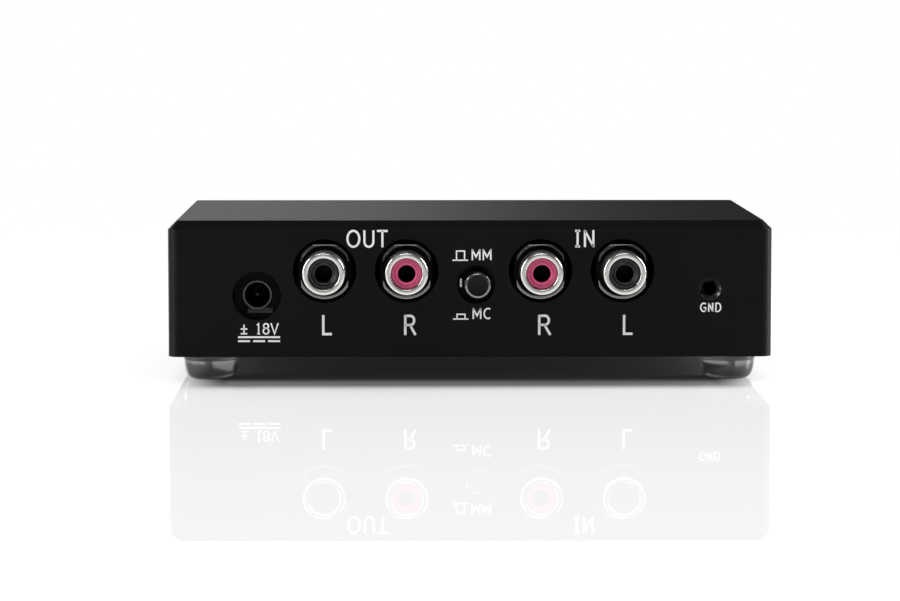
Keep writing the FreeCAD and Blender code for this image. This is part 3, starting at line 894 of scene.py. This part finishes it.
# Inlet: the body takes jackShade, a painted shade, and only the lip round the mouth and the sloping top
# of the chin take a lighter grey, a painted highlight

inletShape = {
    "bevel": 0.08,
    "axisX": -41.6,
    "axisDrop": 4.5,
    "lipRadius": 2.85,
    "lipBehindChin": 0.75,
    "slope": 0.5,
}


def makeInlet():
    body = softCopy("power_inlet_body", inletShape["bevel"])
    dress(body, finish["jackShade"])
    low, high = nodeBox("power_inlet_body")[1:]
    axis = (inletShape["axisX"], 0, high[2] - inletShape["axisDrop"])
    slope = inletShape["slope"]

    # Painted highlight on the lip round the mouth and the sloping top of the chin
    def getsPaintedHighlight(at, facing):
        onLip = fromAxis(at, axis) < inletShape["lipRadius"]
        onSlope = facing[2] > slope and facing[1] < -slope
        return at[1] < low[1] + inletShape["lipBehindChin"] and (onLip or onSlope)

    dressPart(body, finish["inletPaintedHighlight"], getsPaintedHighlight)


# Switch frame: the hood and arm behind the panel take nickelShade, a painted shade, and the lug beside
# the button keeps bright nickel

switchFrameShape = {"bevel": 0.12, "lugReach": 4.0}


def makeSwitchFrame():
    piece = softCopy("switch_frame", switchFrameShape["bevel"])
    dress(piece, finish["nickelShade"])
    reach = nodeBox("switch_frame")[1][1] + switchFrameShape["lugReach"]
    dressPart(piece, finish["nickelBright"], lambda at, facing: at[1] < reach)


# Power lamp: a lens with a flange at its back

lampShape = {"radius": 1.5, "flangeRadius": 1.9, "flangeLength": 1.0, "domeSteps": 12}


# Turned from an outline: flange, straight side, and a quarter circle over the tip
def makeLamp():
    centre, low, high = nodeBox("power_lamp")
    back = low[1]
    radius = lampShape["radius"]
    flange = lampShape["flangeRadius"]
    step = back + lampShape["flangeLength"]
    outline = [(back, 0), (back, flange), (step, flange), (step, radius)]
    outline += roundOff((high[1] - radius, 0), radius, 90, 0, lampShape["domeSteps"])
    lens = turnedMesh("powerLampLens", outline, (centre[0], 0, centre[2]), "y", segments=48, sharp=40)
    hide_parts("power_lamp")
    dress(lens, finish["lampLens"])


makeCase()
for footNode in ("foot_rear_left", "foot_rear_right", "foot_front_left", "foot_front_right"):
    makeFoot(footNode)
makeJacks()
makeButton()
makeSpring()
makeGround()
makeInlet()
makeSwitchFrame()
makeLamp()
print("case, feet, jacks, button, spring, ground bush, inlet, switch frame and lamp made")


# Lettering: flat strokes of even width, a little proud of the panel

letterShape = {"proud": 0.03, "sunk": 0.02, "longestMitre": 2.2}


# Points on an ellipse from one angle to another, in degrees
def bow(cx, cz, rx, rz, start, end, count):
    turn = np.radians(np.linspace(start, end, count))
    return np.stack([cx + rx * np.cos(turn), cz + rz * np.sin(turn)], 1)


# Each sign in a box one high: its width, then its strokes as (x, z) points
signs = {
    "O": (0.80, [bow(0.40, 0.5, 0.37, 0.47, 90, 450, 40)]),
    "U": (0.66, [[(0.03, 1.0), *bow(0.33, 0.33, 0.30, 0.30, 180, 360, 18), (0.63, 1.0)]]),
    "T": (0.70, [[(0, 0.96), (0.70, 0.96)], [(0.35, 0.96), (0.35, 0)]]),
    "I": (0.38, [[(0.19, 0), (0.19, 1)], [(0, 0.96), (0.38, 0.96)], [(0, 0.04), (0.38, 0.04)]]),
    "N": (0.68, [[(0.05, 0), (0.05, 1)], [(0.05, 0.97), (0.63, 0.03)], [(0.63, 0), (0.63, 1)]]),
    "M": (0.82, [
        [(0.05, 0), (0.05, 1)],
        [(0.05, 0.95), (0.41, 0.30), (0.77, 0.95)],
        [(0.77, 0), (0.77, 1)],
    ]),
    "C": (0.68, [bow(0.45, 0.5, 0.41, 0.46, 55, 305, 26)]),
    "L": (0.56, [[(0.06, 1), (0.06, 0.05), (0.56, 0.05)]]),
    "R": (0.68, [
        [(0.06, 0), (0.06, 1)],
        [(0.06, 0.96), *bow(0.36, 0.73, 0.22, 0.23, 90, -90, 14), (0.06, 0.50)],
        [(0.34, 0.50), (0.66, 0.0)],
    ]),
    "G": (0.74, [[*bow(0.45, 0.5, 0.41, 0.46, 52, 318, 26), (0.69, 0.12), (0.69, 0.46), (0.42, 0.46)]]),
    "D": (0.70, [
        [(0.06, 0), (0.06, 1)],
        [(0.06, 0.96), *bow(0.30, 0.5, 0.36, 0.46, 90, -90, 18), (0.06, 0.04)],
    ]),
    "1": (0.50, [[(0.02, 0.80), (0.26, 0.96), (0.26, 0.04)], [(0.04, 0.04), (0.48, 0.04)]]),
    "8": (0.60, [bow(0.30, 0.75, 0.22, 0.21, 90, 450, 26), bow(0.30, 0.28, 0.26, 0.25, 90, 450, 28)]),
    "V": (0.70, [[(0.02, 1), (0.35, 0.03), (0.68, 1)]]),
    "±": (0.72, [[(0, 0.52), (0.72, 0.52)], [(0.36, 0.95), (0.36, 0.15)], [(0, 0.05), (0.72, 0.05)]]),
}

# Pixel columns and rows of the photograph at the panel, turned into millimetres on it
panelScale = {"mmPerPixel": 0.19499, "column": 405.0, "x": -12.72, "row": 1.0, "z": 74.42}


def panelX(column):
    return (column - panelScale["column"]) * panelScale["mmPerPixel"] + panelScale["x"]


def panelZ(row):
    return panelScale["z"] - (row - panelScale["row"]) * panelScale["mmPerPixel"]


# A flat ribbon: each path point moves half a width to both sides along the line that halves its
# corner, by one over the cosine of half the bend, and the two edges get a near and a far copy in Y
def ribbon(path, width):
    path = np.array(path, float)
    closed = len(path) > 3 and np.allclose(path[0], path[-1])
    if closed:
        path = path[:-1]
        before = np.roll(path, 1, 0)
        after = np.roll(path, -1, 0)
    else:
        before = np.concatenate([[2 * path[0] - path[1]], path[:-1]])
        after = np.concatenate([path[1:], [2 * path[-1] - path[-2]]])
    arriving = (path - before) / np.linalg.norm(path - before, axis=1, keepdims=True)
    leaving = (after - path) / np.linalg.norm(after - path, axis=1, keepdims=True)
    bisector = arriving + leaving
    bisector /= np.linalg.norm(bisector, axis=1, keepdims=True)
    normal = np.stack([-bisector[:, 1], bisector[:, 0]], 1)
    square = np.stack([-arriving[:, 1], arriving[:, 0]], 1)
    mitre = np.clip(1 / np.sum(normal * square, 1), 1, letterShape["longestMitre"])[:, None]
    left = path + normal * mitre * width / 2
    right = path - normal * mitre * width / 2
    near = panelY - letterShape["proud"]
    far = panelY + letterShape["sunk"]
    corners = [(left, near), (right, near), (right, far), (left, far)]
    edges = [np.stack([flat[:, 0], np.full(len(flat), y), flat[:, 1]], 1) for flat, y in corners]
    points = np.stack(edges, 1)
    if not closed:
        first, last = [np.repeat(end.mean(1, keepdims=True), 4, 1) for end in (points[:1], points[-1:])]
        points = np.concatenate([first, points, last], 0)
    return settle(gridMesh("stroke", points, closed, True), 30)


# One sign fitted into its printed box, given by pixel columns and rows
def signInBox(sign, box, stroke):
    left, right, top, bottom = box
    x0, x1 = panelX(left), panelX(right)
    z0, z1 = panelZ(bottom), panelZ(top)
    wide, strokes = signs[sign]
    things = []
    for points in strokes:
        points = np.array(points, float)
        x = x0 + stroke / 2 + points[:, 0] / wide * (x1 - x0 - stroke)
        z = z0 + points[:, 1] * (z1 - z0)
        things.append(ribbon(np.stack([x, z], 1), stroke))
    return things


# Words as rows of signs: top and bottom row, stroke width, then each sign with its two columns
printing = [
    (230, 247, 0.42, [("O", 346, 361), ("U", 363, 375), ("T", 376, 389)]),
    (230, 247, 0.42, [("I", 574, 581), ("N", 583, 595)]),
    (249, 260, 0.30, [("M", 471, 481), ("M", 482, 492)]),
    (308, 319, 0.30, [("M", 472, 482), ("C", 483, 491)]),
    (315, 335, 0.48, [("L", 321, 333), ("R", 403, 417), ("R", 537, 552), ("L", 622, 634)]),
    (324, 334, 0.28, [("±", 240, 248)]),
    (323, 334, 0.28, [("1", 256, 261), ("8", 262, 270), ("V", 270, 279)]),
    (303, 312, 0.27, [("G", 700, 707), ("N", 708, 714), ("D", 715, 722)]),
]
# Straight rules and the two button symbols, as pixel paths with their stroke
rules = [
    ([(238, 337), (280, 337)], 0.36),
    ([(238, 341), (250, 341)], 0.36),
    ([(253, 341), (265, 341)], 0.36),
    ([(268, 341), (280, 341)], 0.36),
    ([(452.5, 260), (456.5, 260), (456.5, 250.8), (464.5, 250.8), (464.5, 260), (468, 260)], 0.26),
    ([(456.5, 260), (464.5, 260)], 0.26),
    ([(453, 319), (457, 319), (457, 314.2), (465, 314.2), (465, 319), (468.5, 319)], 0.26),
    ([(457, 319), (465, 319)], 0.26),
]


def makeLettering():
    strokes = []
    for top, bottom, stroke, row in printing:
        for sign, left, right in row:
            strokes += signInBox(sign, (left, right, top, bottom), stroke)
    for path, stroke in rules:
        strokes.append(ribbon([(panelX(column), panelZ(row)) for column, row in path], stroke))
    letters = joined("panelLettering", strokes)
    dress(letters, finish["letterWhite"])


makeLettering()
print("panel lettering made")


# Inner pieces keep their CAD shape and take a finish

innerFinish = {
    "zincSteel": ["base_screws", "board_spacers", "board_screws", "ground_nut", "latch_wire"],
    "boardGreen": ["circuit_board"],
    # The dark nickel here is painted shade on the jack contacts and the inlet's pin and spring
    "nickelShade": [
        "power_inlet_pin", "power_inlet_spring", "output_left_contact", "output_right_contact",
        "input_right_contact", "input_left_contact",
    ],
    "nickelBright": ["ground_tag", "switch_contacts", "lamp_leads"],
    "plasticBlack": ["switch_body", "switch_plunger", "amplifier_chips", "voltage_regulators"],
    "sleeveBlue": ["electrolytic_capacitors"],
    "filmRed": ["film_capacitors"],
    "chipCeramic": ["resistors"],
}
for name, nodes in innerFinish.items():
    for node in nodes:
        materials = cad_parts[node].data.materials
        materials.clear()
        materials.append(finish[name])
print("inner pieces finished")

bpy.context.scene.view_settings.view_transform = "Standard"
